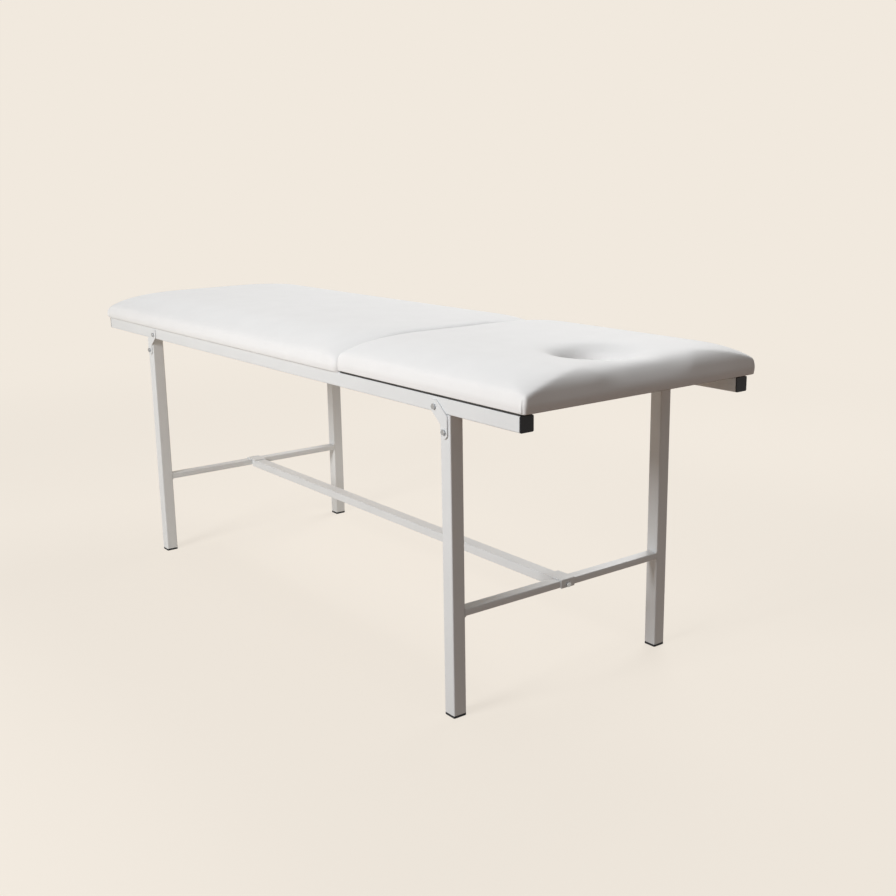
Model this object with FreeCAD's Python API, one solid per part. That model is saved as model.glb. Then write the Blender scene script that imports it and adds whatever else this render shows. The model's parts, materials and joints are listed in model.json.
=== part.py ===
import FreeCAD, Part
import math
import os

V = FreeCAD.Vector
os.makedirs("parts", exist_ok=True)

# A padded treatment couch on an open frame of square tube.
# X runs along the couch with the head end at +X, Z is up, and the origin lies
# on the floor under the middle of the couch. All sizes are in millimetres.

# Overall sizes
bed_length = 1830.0
pad_width = 602.0
rail_top = 630.0

# How the frame stands back from the edge of the cushions
rail_end_inset = 10.0
rail_side_inset = 8.5

# Square tube of the frame
tube = 30.0
tube_wall = 1.5
tube_corner = 2.5

# Where the foot legs and the last cross rail stand, from the foot end of the side rails
foot_leg_inset = 275.0
foot_end_inset = 60.0

# Plastic plugs in the rail ends and caps on the legs
plug_flange = 3.0
plug_depth = 16.0
plug_clearance = 0.2
plug_wall = 2.0
cap_height = 5.0
cap_depth = 22.0

# Low bars that tie the legs
low_bar_top = 219.0
crossbar_width = 25.0
crossbar_height = 15.0
stretcher_width = 30.0
stretcher_height = 20.0
low_bar_wall = 1.5
low_bar_corner = 2.0

# Saddles that hook the stretcher over the crossbars, and its threaded end blocks
saddle_thickness = 2.5
saddle_width = 36.0
saddle_lip = 16.0
saddle_tongue = 22.0
saddle_bend = 2.0
end_block_depth = 18.0

# Hexagon bolts
bolt_radius = 3.0
bolt_flats = 10.0
bolt_head = 4.0
nut_height = 5.0

# Leg plates, in offsets from the leg towards the middle of the couch
plate_thickness = 3.0
plate_top_drop = 6.0
plate_top_inner = 42.0
plate_top_outer = 22.0
plate_outer = -9.0
plate_inner = 11.0
plate_shoulder_drop = 33.0
plate_elbow_inner = 40.0
plate_elbow_inner_drop = 26.0
plate_elbow_drop = 50.0
plate_end_drop = 66.0
plate_bolt_inner = 29.0
plate_bolt_drop = 19.0
plate_leg_bolt_drop = 63.0

# Fold hinges between the middle cross rail and the head section
head_section_length = 586.0
hinge_inset = 82.5
hinge_length = 60.0
knuckle_radius = 4.0
knuckle_gap = 0.3
knuckle_count = 3
hinge_pin_radius = 2.0
hinge_pin_clearance = 0.05
leaf_thickness = 2.0
leaf_length = 24.0
leaf_clearance = 0.8

# Flat steel bars under the head board
bar_width = 30.0
bar_thickness = 5.0
bar_corner = 3.0
head_end_inset = 12.0

# Prop that holds the raised head section, and the racks that its rod rests on
raise_angle = 50.0
prop_length = 165.0
prop_drop = 10.0
prop_rod_radius = 4.0
prop_arm_inset = 27.5
prop_arm_height = 14.0
prop_arm_thickness = 5.0
prop_pin_radius = 4.0
prop_pin_clearance = 0.05
prop_pin_head = 3.0
prop_pin_head_radius = 6.5
bracket_thickness = 4.0
bracket_width = 22.0
bracket_gap = 0.5
rod_end_gap = 1.0
rack_thickness = 5.0
rack_height = 28.0
rack_end = 11.0
rack_rail_gap = 8.0
rack_gap = 0.6
notch_radius = 4.4
notch_drop = 4.6
notch_angles = (0.0, 20.0, 30.0, 40.0, raise_angle)

# Boards
board_thickness = 12.0
board_corner = 14.0
board_clearance = 0.3
board_fold_gap = 11.0

# Cushions
pad_height = 70.0
pad_fold_gap = 3.0
cover_thickness = 1.2
foam_clearance = 0.3
fold_bevel = 26.0

# Form of a cushion: its sides bulge out to a waist and then curve into the crown
pad_waist = 22.0
pad_base_draw = 5.0
pad_crown_draw = 140.0
pad_side_corner = 14.0
pad_crown_corner = 120.0
fold_draw_share = 0.18
crown_steps = 7
corner_steps = 5
ring_steps = 32

# Face opening in the head cushion
face_hole_inset = 140.0
face_throat_radius = 60.0
face_flare_radius = 106.0

# How far a cutting tool runs past what it cuts
overrun = 10.0

# Sizes that follow from the ones above
half_bed = bed_length / 2
half_rail = half_bed - rail_end_inset
half_width = pad_width / 2 - rail_side_inset
half_tube = tube / 2
rail_bottom = rail_top - tube
rail_inner = half_width - tube
rail_y = half_width - half_tube
foot_leg_x = -half_rail + foot_leg_inset
foot_end_x = -half_rail + foot_end_inset
hinge_x = half_bed - head_section_length
hinge_y = rail_inner - hinge_inset
hinge_z = rail_top - knuckle_radius
middle_rail_x = hinge_x - knuckle_radius - half_tube
low_bar_bolt_z = low_bar_top - stretcher_height / 2
prop_x = hinge_x + prop_length
prop_z = hinge_z - prop_drop
prop_arm_y = rail_inner - prop_arm_inset
rod_rest_x = prop_x + prop_length
head_leg_x = rod_rest_x + rack_end + rack_rail_gap + half_tube
head_bars_start = hinge_x + knuckle_radius + leaf_clearance
head_bars_end = half_bed - head_end_inset
face_hole_x = half_bed - face_hole_inset
main_fold = hinge_x - pad_fold_gap / 2
head_fold = hinge_x + pad_fold_gap / 2
head_pad_bottom = rail_top + bar_thickness
head_pad_height = pad_height - bar_thickness


def save(shape, name):
    """Write one piece of the couch under its own name."""
    shape.exportStep("parts/" + name + ".step")


def corners(a0, a1, b0, b1, radius):
    """Where each rounded corner of a rectangle starts, peaks and ends, going round."""
    s = radius * (1 - math.cos(math.radians(45)))
    return [((a1 - radius, b0), (a1 - s, b0 + s), (a1, b0 + radius)),
            ((a1, b1 - radius), (a1 - s, b1 - s), (a1 - radius, b1)),
            ((a0 + radius, b1), (a0 + s, b1 - s), (a0, b1 - radius)),
            ((a0, b0 + radius), (a0 + s, b0 + s), (a0 + radius, b0))]


def round_outline(a0, a1, b0, b1, radius, z):
    """A level rectangle with round corners."""
    edges = []
    turns = corners(a0, a1, b0, b1, radius)
    for index, (start, peak, end) in enumerate(turns):
        following = turns[(index + 1) % len(turns)][0]
        edges.append(Part.Arc(V(*start, z), V(*peak, z), V(*end, z)).toShape())
        edges.append(Part.makeLine(V(*end, z), V(*following, z)))
    return Part.Wire(edges)


def stepped_outline(a0, a1, b0, b1, radius, z):
    """The corner points of a level rectangle whose round corners are short straight steps."""
    centres = [(a1 - radius, b1 - radius), (a0 + radius, b1 - radius), (a0 + radius, b0 + radius),
               (a1 - radius, b0 + radius)]
    points = []
    for quarter, (a, b) in enumerate(centres):
        for step in range(corner_steps + 1):
            turn = math.radians(90) * (quarter + step / corner_steps)
            points.append(V(a + radius * math.cos(turn), b + radius * math.sin(turn), z))
    return points + points[:1]


def ring(x, radius, z):
    """The corner points of a level circle made of short straight steps."""
    points = []
    for step in range(ring_steps):
        turn = math.radians(360) * step / ring_steps
        points.append(V(x + radius * math.cos(turn), radius * math.sin(turn), z))
    return points + points[:1]


def skin(outlines):
    """The solid inside a stack of level outlines that have the same number of points."""
    faces = [Part.Face(Part.makePolygon(outlines[0])), Part.Face(Part.makePolygon(outlines[-1]))]
    for lower, upper in zip(outlines, outlines[1:]):
        for i in range(len(lower) - 1):
            wire = Part.makePolygon([lower[i], lower[i + 1], upper[i + 1], upper[i], lower[i]])
            faces.append(Part.Face(wire))
    return Part.Solid(Part.Shell(faces))


def prism(wire, direction):
    """The solid that a flat outline makes when it is drawn out."""
    return Part.Face(wire).extrude(direction)


def box(x0, x1, y0, y1, z0, z1):
    """A plain block between two corners."""
    return Part.makeBox(x1 - x0, y1 - y0, z1 - z0, V(x0, y0, z0))


def rod(radius, start, end):
    """A round bar from one point to another."""
    run = end - start
    return Part.makeCylinder(radius, run.Length, start, run)


def rod_across(radius, x, y0, y1, z):
    """A round bar along Y, given its two ends in either order."""
    return rod(radius, V(x, min(y0, y1), z), V(x, max(y0, y1), z))


def plate_along_y(points, y0, y1):
    """A flat plate with an outline in X and Z, given its two faces in either order."""
    low = min(y0, y1)
    wire = Part.makePolygon([V(x, low, z) for x, z in points + points[:1]])
    return prism(wire, V(0, max(y0, y1) - low, 0))


def bar_solid(axis, start, end, a0, a1, b0, b1, corner):
    """A solid bar along one axis, each of its rounded edges as two flats."""
    orders = {"x": (2, 0, 1), "y": (0, 2, 1), "z": (0, 1, 2)}
    points = []
    for turn in corners(a0, a1, b0, b1, corner):
        for a, b in turn:
            values = (a, b, start)
            points.append(V(*[values[i] for i in orders[axis]]))
    step = [0, 0, end - start]
    return prism(Part.makePolygon(points + points[:1]), V(*[step[i] for i in orders[axis]]))


def bar_hollow(axis, start, end, a0, a1, b0, b1, corner, wall):
    """A rectangular tube along one axis, open at both ends."""
    outer = bar_solid(axis, start, end, a0, a1, b0, b1, corner)
    a2, a3 = a0 + wall, a1 - wall
    b2, b3 = b0 + wall, b1 - wall
    bores = {"x": (start, end, a2, a3, b2, b3), "y": (a2, a3, start, end, b2, b3),
             "z": (a2, a3, b2, b3, start, end)}
    return outer.cut(box(*bores[axis]))


def hexagon(flats, base, direction, height):
    """A hexagonal head or nut that stands on a point."""
    axis = V(direction).normalize()
    side = axis.cross(V(0, 0, 1))
    other = axis.cross(side)
    reach = flats / 2 / math.cos(math.radians(30))
    points = []
    for degrees in range(0, 360, 60):
        turn = math.radians(degrees)
        points.append(base + side * (reach * math.cos(turn)) + other * (reach * math.sin(turn)))
    return prism(Part.makePolygon(points + points[:1]), axis * height)


def bolt_at(face, direction, length):
    """A hexagon bolt: its head stands on face and its shank runs along direction."""
    axis = V(direction).normalize()
    head = hexagon(bolt_flats, face, axis * -1, bolt_head)
    return head.fuse(rod(bolt_radius, face, face + axis * length)).removeSplitter()


# Places that repeat

def side_rows():
    """The near and the far side with their signs along Y."""
    return [("near", -1), ("far", 1)]


def leg_rows():
    """Each leg pair with its place and the direction towards the middle."""
    return [("head", head_leg_x, -1), ("foot", foot_leg_x, 1)]


def rail_bolt(leg_x, inward):
    """Centre of the bolt that ties a leg plate to the side rail, as x and z."""
    return leg_x + inward * plate_bolt_inner, rail_top - plate_bolt_drop


def leg_bolt(leg_x):
    """Centre of the bolt that ties a leg plate to the leg, as x and z."""
    return leg_x, rail_top - plate_leg_bolt_drop


# Frame

def bolt_hole(side, place):
    """The hole of a plate bolt through the outer wall of a rail or leg."""
    x, z = place
    return rod_across(bolt_radius, x, side * (half_width + overrun), side * (half_width - half_tube), z)


def side_rail(side):
    """A side rail with the holes of its plate bolts."""
    y = side * rail_y
    reach = half_rail - plug_flange
    rail = bar_hollow("x", -reach, reach, y - half_tube, y + half_tube, rail_bottom, rail_top, tube_corner,
                      tube_wall)
    for name, leg_x, inward in leg_rows():
        rail = rail.cut(bolt_hole(side, rail_bolt(leg_x, inward)))
    return rail


def cross_rail(x):
    """A square tube between the two side rails."""
    return bar_hollow("y", -rail_inner, rail_inner, x - half_tube, x + half_tube, rail_bottom, rail_top,
                      tube_corner, tube_wall)


def leg(leg_x, side):
    """One leg, from its cap up to the underside of the side rail."""
    y = side * rail_y
    shaft = bar_hollow("z", cap_height, rail_bottom, leg_x - half_tube, leg_x + half_tube, y - half_tube,
                       y + half_tube, tube_corner, tube_wall)
    return shaft.cut(bolt_hole(side, leg_bolt(leg_x)))


def rail_plug(side, end):
    """A plastic plug: a flange over the tube's end and a hollow stem inside."""
    y = side * rail_y
    z = rail_top - half_tube
    root = half_rail - plug_flange
    tip = root - plug_depth
    stem = half_tube - tube_wall - plug_clearance
    bore = stem - plug_wall
    flange = bar_solid("x", root, half_rail, y - half_tube, y + half_tube, rail_bottom, rail_top, tube_corner)
    plug = flange.fuse(box(tip, root, y - stem, y + stem, z - stem, z + stem))
    plug = plug.cut(box(tip, root, y - bore, y + bore, z - bore, z + bore)).removeSplitter()
    return plug if end > 0 else plug.mirror(V(0, 0, 0), V(1, 0, 0))


def leg_cap(leg_x, side):
    """A plastic cap: a pad under the leg and a hollow stem inside it."""
    y = side * rail_y
    stem = half_tube - tube_wall - plug_clearance
    bore = stem - plug_wall
    top = cap_height + cap_depth
    pad = bar_solid("z", 0, cap_height, leg_x - half_tube, leg_x + half_tube, y - half_tube, y + half_tube,
                    tube_corner)
    cap = pad.fuse(box(leg_x - stem, leg_x + stem, y - stem, y + stem, cap_height, top))
    return cap.cut(box(leg_x - bore, leg_x + bore, y - bore, y + bore, cap_height, top)).removeSplitter()


def crossbar_span(leg_x):
    """Both X faces of a crossbar; the one towards the head end is flush with its legs."""
    return leg_x + half_tube - crossbar_width, leg_x + half_tube


def crossbar(leg_x):
    """A low bar between two legs, with the hole of the stretcher's bolt."""
    x0, x1 = crossbar_span(leg_x)
    bar = bar_hollow("y", -rail_inner, rail_inner, x0, x1, low_bar_top - crossbar_height, low_bar_top,
                     low_bar_corner, low_bar_wall)
    return bar.cut(rod(bolt_radius, V(x0 - overrun, 0, low_bar_bolt_z), V(x1 + overrun, 0, low_bar_bolt_z)))


def stretcher_ends():
    """Where the stretcher meets the crossbars, each with the direction away from its middle."""
    return [(crossbar_span(foot_leg_x)[1], -1), (crossbar_span(head_leg_x)[0], 1)]


def stretcher():
    """The long low bar between the crossbars."""
    half = stretcher_width / 2
    start, end = [face_x for face_x, outward in stretcher_ends()]
    return bar_hollow("x", start, end, -half, half, low_bar_top - stretcher_height, low_bar_top,
                      low_bar_corner, low_bar_wall)


def end_block(face_x, outward):
    """The threaded steel block inside one end of the stretcher."""
    inner = face_x - outward * end_block_depth
    half = stretcher_width / 2 - low_bar_wall
    bottom = low_bar_top - stretcher_height + low_bar_wall
    block = box(min(face_x, inner), max(face_x, inner), -half, half, bottom, low_bar_top - low_bar_wall)
    return block.cut(rod(bolt_radius, V(inner, 0, low_bar_bolt_z), V(face_x, 0, low_bar_bolt_z)))


def stretcher_bolt(face_x, outward):
    """A bolt through saddle and crossbar into the stretcher's end block."""
    grip = crossbar_width + saddle_thickness
    return bolt_at(V(face_x + outward * grip, 0, low_bar_bolt_z), V(-outward, 0, 0), grip + end_block_depth)


def saddle(face_x, outward):
    """A bent plate that hooks the stretcher over a crossbar."""
    half = saddle_width / 2
    inner = face_x - outward * saddle_tongue
    wall = face_x + outward * crossbar_width
    outer = wall + outward * saddle_thickness
    top = low_bar_top + saddle_thickness
    lip = low_bar_top - saddle_lip
    s = saddle_bend * (1 - math.cos(math.radians(45)))
    points = [(inner, low_bar_top), (inner, top), (outer - outward * saddle_bend, top),
              (outer - outward * s, top - s), (outer, top - saddle_bend), (outer, lip), (wall, lip),
              (wall, low_bar_top)]
    plate = plate_along_y(points, -half, half)
    return plate.cut(rod(bolt_radius, V(wall, 0, low_bar_bolt_z), V(outer, 0, low_bar_bolt_z)))


def leg_plate(leg_x, inward, side):
    """A bent strap on the outside of a rail and its leg, with a round lower end."""
    end_round = (plate_inner - plate_outer) / 2
    offsets = [(plate_top_inner, plate_top_drop), (plate_top_outer, plate_top_drop),
               (plate_outer, plate_shoulder_drop), (plate_outer, plate_end_drop),
               (plate_inner, plate_end_drop), (plate_inner, plate_elbow_drop),
               (plate_elbow_inner, plate_elbow_inner_drop)]
    inner = side * half_width
    outer = side * (half_width + plate_thickness)
    points = [(leg_x + inward * offset, rail_top - drop) for offset, drop in offsets]
    plate = plate_along_y(points, inner, outer)
    end_x = leg_x + inward * (plate_inner - end_round)
    plate = plate.fuse(rod_across(end_round, end_x, inner, outer, rail_top - plate_end_drop))
    plate = plate.removeSplitter()
    for x, z in (rail_bolt(leg_x, inward), leg_bolt(leg_x)):
        plate = plate.cut(rod_across(bolt_radius, x, inner, outer, z))
    return plate


def plate_bolt(side, place):
    """A hexagon bolt through a leg plate, with the nut that is welded behind the tube wall."""
    x, z = place
    inward = V(0, -side, 0)
    grip = plate_thickness + tube_wall + nut_height
    bolt = bolt_at(V(x, side * (half_width + plate_thickness), z), inward, grip)
    nut = hexagon(bolt_flats, V(x, side * (half_width - tube_wall), z), inward, nut_height)
    return bolt.fuse(nut).removeSplitter()


# Fold hinges

def knuckle(y, index, fixed):
    """One knuckle of a hinge, with the tongue that joins it to its leaf."""
    pitch = hinge_length / knuckle_count
    start = y - hinge_length / 2 + index * pitch + knuckle_gap / 2
    end = start + pitch - knuckle_gap
    wall = hinge_x - knuckle_radius
    reach = knuckle_radius + leaf_clearance
    if fixed:
        tongue = box(wall, wall + leaf_thickness, start, end, hinge_z - reach, hinge_z)
    else:
        tongue = box(hinge_x, hinge_x + reach, start, end, rail_top - leaf_thickness, rail_top)
    return rod_across(knuckle_radius, hinge_x, start, end, hinge_z).fuse(tongue)


def hinge_leaf(y, fixed):
    """A hinge leaf with its knuckles: the fixed one hangs down, the other lies flat."""
    y0, y1 = y - hinge_length / 2, y + hinge_length / 2
    wall = hinge_x - knuckle_radius
    reach = knuckle_radius + leaf_clearance
    if fixed:
        leaf = box(wall, wall + leaf_thickness, y0, y1, hinge_z - leaf_length, hinge_z - reach)
    else:
        start = hinge_x + reach
        leaf = box(start, start + leaf_length, y0, y1, rail_top - leaf_thickness, rail_top)
    for index in range(0 if fixed else 1, knuckle_count, 2):
        leaf = leaf.fuse(knuckle(y, index, fixed))
    clearance = 0 if fixed else hinge_pin_clearance
    return leaf.cut(rod_across(hinge_pin_radius + clearance, hinge_x, y0, y1, hinge_z)).removeSplitter()


def hinge_pin(y):
    """The pin through the knuckles of one hinge."""
    reach = (hinge_length - knuckle_gap) / 2
    return rod_across(hinge_pin_radius, hinge_x, y - reach, y + reach, hinge_z)


# Head section: flat bars, prop brackets and prop

def head_side_bar(side):
    """A flat bar that lies on the side rail under the head board."""
    low, high = sorted((side * rail_inner, side * half_width))
    return bar_solid("z", rail_top, head_pad_bottom, head_bars_start, head_bars_end, low, high, bar_corner)


def head_cross_bar(x):
    """A flat bar across, between the two side bars."""
    half = bar_width / 2
    return box(x - half, x + half, -rail_inner, rail_inner, rail_top, head_pad_bottom)


def prop_bracket(side):
    """An ear under the prop bar with the headed pivot pin that is riveted into it."""
    half_arm = prop_arm_thickness / 2 + bracket_gap
    ear_inner = side * (prop_arm_y + half_arm)
    ear_outer = ear_inner + side * bracket_thickness
    pin_inner = side * (prop_arm_y - half_arm)
    half = bracket_width / 2
    low, high = min(ear_inner, ear_outer), max(ear_inner, ear_outer)
    ear = box(prop_x - half, prop_x + half, low, high, prop_z, rail_top)
    ear = ear.fuse(rod_across(half, prop_x, low, high, prop_z)).removeSplitter()
    pin = rod_across(prop_pin_radius, prop_x, pin_inner, ear_outer, prop_z)
    head = rod_across(prop_pin_head_radius, prop_x, pin_inner - side * prop_pin_head, pin_inner, prop_z)
    return ear.fuse(pin).fuse(head).removeSplitter()


def prop_arm(side):
    """A flat arm with round ends, from the pivot pin to the rod."""
    half = prop_arm_height / 2
    low = side * prop_arm_y - prop_arm_thickness / 2
    high = low + prop_arm_thickness
    arm = box(prop_x, rod_rest_x, low, high, prop_z - half, prop_z + half)
    for x in (prop_x, rod_rest_x):
        arm = arm.fuse(rod_across(half, x, low, high, prop_z))
    bore = prop_pin_radius + prop_pin_clearance
    arm = arm.removeSplitter().cut(rod_across(bore, prop_x, low, high, prop_z))
    return arm.cut(rod_across(prop_rod_radius, rod_rest_x, low, high, prop_z))


def prop_rod():
    """The round rod across both arms, whose ends rest in the racks."""
    reach = rail_inner - rod_end_gap
    return rod_across(prop_rod_radius, rod_rest_x, -reach, reach, prop_z)


def rod_place(angle):
    """Centre of the prop's rod when the head section is raised by an angle.

    The pivot is as far from the hinge as the arm is long, so the rod slides inwards almost
    level while the section rises.
    """
    turn = math.radians(angle)
    x = hinge_x + 2 * prop_length * math.cos(turn) + prop_drop * math.sin(turn)
    z = hinge_z - prop_drop * math.cos(turn)
    return x, z


def rack(side):
    """A plate on the inner face of a side rail with one notch for each stop of the rod."""
    outer = side * rail_inner
    inner = side * (rail_inner - rack_thickness)
    steep_x, steep_z = rod_place(raise_angle)
    flat_x, flat_z = rod_place(0)
    rise = (steep_z - flat_z) / (steep_x - flat_x) * rack_end
    under = prop_rod_radius + rack_gap
    bottom = rail_top - rack_height
    x0, x1 = steep_x - rack_end, flat_x + rack_end
    points = [(x0, bottom), (x1, bottom), (x1, flat_z - under + rise), (x0, steep_z - under - rise)]
    plate = plate_along_y(points, inner, outer)
    for angle in notch_angles:
        x, z = rod_place(angle)
        floor = z - notch_drop
        slot = box(x - notch_radius, x + notch_radius, min(inner, outer), max(inner, outer), floor, z)
        plate = plate.cut(slot).cut(rod_across(notch_radius, x, inner, outer, floor))
    return plate


# Boards and cushions

def pad_levels(height):
    """Height, draw-in and corner radius of each outline from the base to the crown."""
    levels = [(0, pad_base_draw, pad_side_corner)]
    for step in range(crown_steps + 1):
        turn = math.radians(90) * step / crown_steps
        level = pad_waist + (height - pad_waist) * math.sin(turn)
        corner = pad_side_corner + (pad_crown_corner - pad_side_corner) * math.sin(turn)
        levels.append((level, pad_crown_draw * (1 - math.cos(turn)), corner))
    return levels


def pad_form(free_x, fold_x, bottom, height, inset, drop):
    """A crowned cushion between its free end and its fold end.

    inset moves every wall inwards, and drop carries the walls on below the base.
    """
    reach = -1 if free_x > fold_x else 1
    half = pad_width / 2 - inset
    free = free_x + reach * inset
    fold = fold_x - reach * inset
    levels = pad_levels(height - inset)
    if drop:
        levels.insert(0, (-drop, pad_base_draw, pad_side_corner))
    outlines = []
    for level, draw, corner in levels:
        x0, x1 = sorted((free + reach * draw, fold - reach * draw * fold_draw_share))
        width = half - draw
        outlines.append(stepped_outline(x0, x1, -width, width, corner, bottom + level))
    return skin(outlines)


def face_hole(wall):
    """The funnel of the face opening: a round throat with a flared lip."""
    top = rail_top + pad_height - wall
    low = rail_top - overrun
    throat = face_throat_radius + wall
    lip = face_flare_radius - face_throat_radius
    s = lip * (1 - math.cos(math.radians(45)))
    profile = [(throat, low), (throat, top - lip), (throat + s, top - s), (throat + lip, top),
               (throat + lip, top + overrun)]
    return skin([ring(face_hole_x, radius, z) for radius, z in profile])


def fold_profile(free_x, bottom, shift):
    """The block that holds board and firm foam, bevelled beside the fold."""
    reach = 1 if free_x < hinge_x else -1
    edge = hinge_x - reach * (board_fold_gap - shift)
    shoulder = bottom + board_thickness
    top = bottom + pad_height
    lean = math.tan(math.radians(fold_bevel)) * (top - shoulder)
    outer = free_x - reach * overrun
    points = [(outer, bottom - overrun), (edge, bottom - overrun), (edge, shoulder),
              (edge - reach * lean, top), (outer, top)]
    return plate_along_y(points, -pad_width, pad_width)


def board(free_x, bottom):
    """A plywood board with round corners, set back from the fold."""
    reach = 1 if free_x < hinge_x else -1
    inset = pad_base_draw + cover_thickness + board_clearance
    x0, x1 = sorted((free_x + reach * inset, hinge_x - reach * board_fold_gap))
    half = pad_width / 2 - inset
    return prism(round_outline(x0, x1, -half, half, board_corner, bottom), V(0, 0, board_thickness))


def head_board():
    """The head section's board, with the face opening."""
    radius = face_throat_radius + cover_thickness + board_clearance
    top = head_pad_bottom + board_thickness
    hole = rod(radius, V(face_hole_x, 0, head_pad_bottom), V(face_hole_x, 0, top))
    return board(half_bed, head_pad_bottom).cut(hole)


def cushion(free_x, fold_x, bottom, height, opening):
    """Cover, firm foam and soft fold foam of one cushion."""
    outside = pad_form(free_x, fold_x, bottom, height, 0, 0)
    lining = pad_form(free_x, fold_x, bottom, height, cover_thickness, overrun)
    inner = cover_thickness + foam_clearance
    filling = pad_form(free_x, fold_x, bottom, height, inner, 0)
    x0, x1 = sorted((free_x, fold_x))
    board_zone = box(x0, x1, -pad_width, pad_width, bottom, bottom + board_thickness)
    foam = filling.cut(board_zone).common(fold_profile(free_x, bottom, 0))
    fold_foam = filling.cut(fold_profile(free_x, bottom, foam_clearance))
    if opening:
        outside = outside.cut(face_hole(0))
        lining = lining.cut(face_hole(cover_thickness))
        foam = foam.cut(face_hole(inner))
    return outside.cut(lining), foam, fold_foam


# Build every piece

for side_name, side in side_rows():
    save(side_rail(side), "side_rail_" + side_name)
    save(rail_plug(side, 1), "head_rail_plug_" + side_name)
    save(rail_plug(side, -1), "foot_rail_plug_" + side_name)
    save(head_side_bar(side), "head_side_bar_" + side_name)
    save(prop_bracket(side), "prop_bracket_" + side_name)
    save(prop_arm(side), "prop_arm_" + side_name)
    save(rack(side), "prop_rack_" + side_name)
    save(hinge_leaf(side * hinge_y, True), "hinge_frame_leaf_" + side_name)
    save(hinge_leaf(side * hinge_y, False), "hinge_head_leaf_" + side_name)

plate_bolts = []
for leg_name, leg_x, inward in leg_rows():
    save(crossbar(leg_x), leg_name + "_crossbar")
    for side_name, side in side_rows():
        save(leg(leg_x, side), leg_name + "_leg_" + side_name)
        save(leg_cap(leg_x, side), leg_name + "_leg_cap_" + side_name)
        save(leg_plate(leg_x, inward, side), leg_name + "_leg_plate_" + side_name)
        plate_bolts.append(plate_bolt(side, rail_bolt(leg_x, inward)))
        plate_bolts.append(plate_bolt(side, leg_bolt(leg_x)))
save(Part.makeCompound(plate_bolts), "leg_plate_bolts")
save(Part.makeCompound([hinge_pin(side * hinge_y) for side_name, side in side_rows()]), "hinge_pins")

save(cross_rail(foot_end_x), "foot_end_cross_rail")
save(cross_rail(foot_leg_x), "foot_cross_rail")
save(cross_rail(middle_rail_x), "middle_cross_rail")
save(cross_rail(head_leg_x), "head_cross_rail")

foot_joint, head_joint = stretcher_ends()
save(stretcher(), "stretcher")
save(saddle(*foot_joint), "foot_saddle")
save(saddle(*head_joint), "head_saddle")
save(Part.makeCompound([end_block(*foot_joint), end_block(*head_joint)]), "stretcher_end_blocks")
save(Part.makeCompound([stretcher_bolt(*foot_joint), stretcher_bolt(*head_joint)]), "stretcher_bolts")

save(head_cross_bar(head_bars_start + bar_width / 2), "head_hinge_bar")
save(head_cross_bar(prop_x), "head_prop_bar")
save(head_cross_bar(head_bars_end - bar_width / 2), "head_end_bar")
save(prop_rod(), "prop_rod")

save(board(-half_bed, rail_top), "main_board")
save(head_board(), "head_board")
main_cover, main_foam, main_fold_foam = cushion(-half_bed, main_fold, rail_top, pad_height, False)
save(main_cover, "main_cover")
save(main_foam, "main_foam")
save(main_fold_foam, "main_fold_foam")
head_cover, head_foam, head_fold_foam = cushion(half_bed, head_fold, head_pad_bottom, head_pad_height, True)
save(head_cover, "head_cover")
save(head_foam, "head_foam")
save(head_fold_foam, "head_fold_foam")
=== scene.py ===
# %% [markdown]
# # A padded treatment couch
# The couch is a bed of two cushions on an open frame of square steel tube. The frame, the
# bolts and the fold mechanism come from the CAD model, which is loaded here and never moved.
# Blender adds what a drawing leaves out: the upholstery, the paint, and the small fixings.

import json
import math

import bmesh
import bpy
import numpy as np
from mathutils import Matrix, Vector
from mathutils.bvhtree import BVHTree


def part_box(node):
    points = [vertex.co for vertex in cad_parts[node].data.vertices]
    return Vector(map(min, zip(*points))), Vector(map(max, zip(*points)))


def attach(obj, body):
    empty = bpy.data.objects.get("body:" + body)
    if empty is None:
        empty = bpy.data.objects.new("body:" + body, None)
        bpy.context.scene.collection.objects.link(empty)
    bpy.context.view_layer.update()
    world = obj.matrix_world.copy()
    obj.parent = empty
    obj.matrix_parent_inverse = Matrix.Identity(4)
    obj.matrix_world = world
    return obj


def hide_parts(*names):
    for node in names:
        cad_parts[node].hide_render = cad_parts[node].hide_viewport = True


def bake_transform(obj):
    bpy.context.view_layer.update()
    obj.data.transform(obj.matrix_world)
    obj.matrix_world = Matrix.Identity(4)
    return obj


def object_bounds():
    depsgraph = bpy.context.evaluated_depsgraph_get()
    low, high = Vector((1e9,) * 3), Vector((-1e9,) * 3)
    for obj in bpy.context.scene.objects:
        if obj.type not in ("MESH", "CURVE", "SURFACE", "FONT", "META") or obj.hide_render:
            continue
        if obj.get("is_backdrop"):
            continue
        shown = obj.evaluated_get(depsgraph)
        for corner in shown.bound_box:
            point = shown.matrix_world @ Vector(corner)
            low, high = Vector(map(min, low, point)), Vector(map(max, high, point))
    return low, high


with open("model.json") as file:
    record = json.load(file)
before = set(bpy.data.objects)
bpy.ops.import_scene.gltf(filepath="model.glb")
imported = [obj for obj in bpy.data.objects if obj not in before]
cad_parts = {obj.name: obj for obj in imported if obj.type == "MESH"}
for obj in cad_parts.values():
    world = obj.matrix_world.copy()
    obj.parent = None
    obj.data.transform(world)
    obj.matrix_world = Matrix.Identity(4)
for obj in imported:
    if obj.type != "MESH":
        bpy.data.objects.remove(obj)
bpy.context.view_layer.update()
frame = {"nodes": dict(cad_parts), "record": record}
nodes = frame["nodes"]

# %% [markdown]
# ## Units and small helpers
# Blender works in metres, but upholsterers and welders think in millimetres, so sizes below
# are written as 12 * MM, and one helper turns a real size into the scale of a texture. Paint
# and cloth colours are picked on a screen as hex codes, which are not linear, so the next one
# converts them. The other two add a node to a tree and start a material, which keeps each
# material short enough to read.

# %% Helpers
MM = 0.001


def per_mm(size):
    """Texture scale that makes one repeat about this many millimetres wide."""
    return 1 / (size * MM)


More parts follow.
